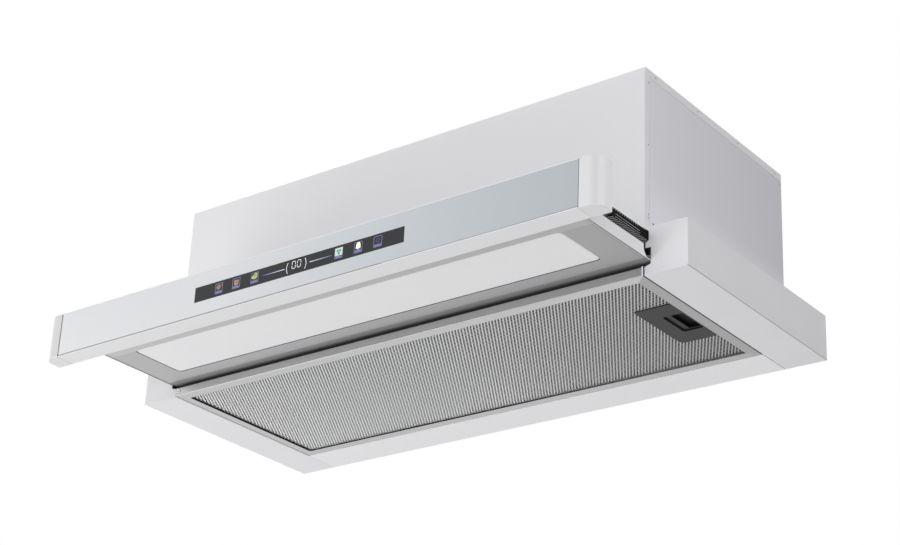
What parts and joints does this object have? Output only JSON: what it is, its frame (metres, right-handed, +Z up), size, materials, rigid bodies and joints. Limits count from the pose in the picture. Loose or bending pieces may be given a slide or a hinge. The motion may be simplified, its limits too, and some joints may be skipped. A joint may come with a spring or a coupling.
{
  "type": "pull out range hood",
  "caption": "Slim cooker hood for a wall cabinet: pull-out visor with glass front and light tray, hinged grease filter, centrifugal blower and top duct collar with flaps.",
  "frame": {"origin": "underside of the hood, midway between the front of the pulled-out visor and the rear (wall) face", "axes": "+X to the right seen from the front, +Y towards the wall, +Z up"},
  "size_m": [0.598, 0.359, 0.2274],
  "materials": {
    "white_paint": "satin",
    "grey_paint": "satin",
    "white_profile": "satin",
    "white_plastic": "gloss",
    "fascia_glass": "gloss",
    "smoked_window": "gloss",
    "diffuser": "matte",
    "board": "matte",
    "rubber": "matte",
    "nylon": "matte",
    "zinc": "satin",
    "black_steel": "satin",
    "bright_steel": "polished",
    "aluminium": "satin",
    "dark_plastic": "matte",
    "box_plastic": "matte"
  },
  "bodies": {
    "hood": {"box_front": "white_paint", "box_side_left": "white_paint", "box_side_right": "white_paint", "box_rear": "white_paint", "box_top": "white_paint", "base_side_left": "white_paint", "base_side_right": "white_paint", "base_rear": "white_paint", "slide_bracket_left": "zinc", "slide_bracket_right": "zinc", "slide_outer_left": "black_steel", "slide_outer_right": "black_steel", "glides_fixed": "nylon", "scroll_left": "dark_plastic", "scroll_right": "dark_plastic", "motor": "zinc", "motor_bracket": "zinc", "duct_collar": "dark_plastic", "collar_screws": "bright_steel", "control_box": "box_plastic", "control_lid": "box_plastic", "control_board": "board", "lamp_driver": "box_plastic", "cable_gland": "dark_plastic"},
    "slide_middle": {"slide_mid_left": "black_steel", "slide_mid_right": "black_steel", "glides_mid": "nylon"},
    "visor": {"front_profile": "white_profile", "end_cap_left": "white_plastic", "end_cap_right": "white_plastic", "glass_fascia": "fascia_glass", "display_window": "smoked_window", "touch_board": "board", "bumpers": "rubber", "light_tray": "grey_paint", "tray_lid": "zinc", "diffuser": "diffuser", "lamp_board": "board", "slide_inner_left": "black_steel", "slide_inner_right": "black_steel", "glides_inner": "nylon"},
    "grease_filter": {"filter_frame_front": "aluminium", "filter_frame_rear": "aluminium", "filter_frame_left": "aluminium", "filter_frame_right": "aluminium", "filter_mesh_outer": "aluminium", "filter_mesh_inner": "aluminium", "latch_plate": "dark_plastic"},
    "filter_latch": {"latch_slider": "dark_plastic"},
    "fan_rotor": {"impeller": "dark_plastic", "fan_shaft": "bright_steel"},
    "left_flap": {"flap_left": "dark_plastic"},
    "right_flap": {"flap_right": "dark_plastic"}
  },
  "joints": [
    {"name": "visor_slide", "type": "slide", "parent": "hood", "child": "visor", "axis": [0, 1, 0], "range_m": [0, 0.107]},
    {"name": "slide_middle", "type": "slide", "parent": "hood", "child": "slide_middle", "axis": [0, 1, 0], "range_m": [0, 0.0535]},
    {"name": "fan_spin", "type": "hinge", "parent": "hood", "child": "fan_rotor", "pos_m": [0, 0.0985, 0.124], "axis": [1, 0, 0], "continuous": true},
    {"name": "left_flap_hinge", "type": "hinge", "parent": "hood", "child": "left_flap", "pos_m": [-0.005, 0.06376, 0.2004], "axis": [0, 1, 0], "range_deg": [0, 75]},
    {"name": "right_flap_hinge", "type": "hinge", "parent": "hood", "child": "right_flap", "pos_m": [0.005, 0.06376, 0.2004], "axis": [0, -1, 0], "range_deg": [0, 75]},
    {"name": "filter_swing", "type": "hinge", "parent": "hood", "child": "grease_filter", "pos_m": [-0.25695, 0.04405, 0.0013], "axis": [0, 1, 0], "range_deg": [0, 60]},
    {"name": "latch_draw", "type": "slide", "parent": "grease_filter", "child": "filter_latch", "axis": [-1, 0, 0], "range_m": [0, 0.0045], "stiffness_N_per_m": 200}
  ],
  "couplings": [
    {"joint": "slide_middle", "follows": "visor_slide", "ratio": 0.5}
  ]
}
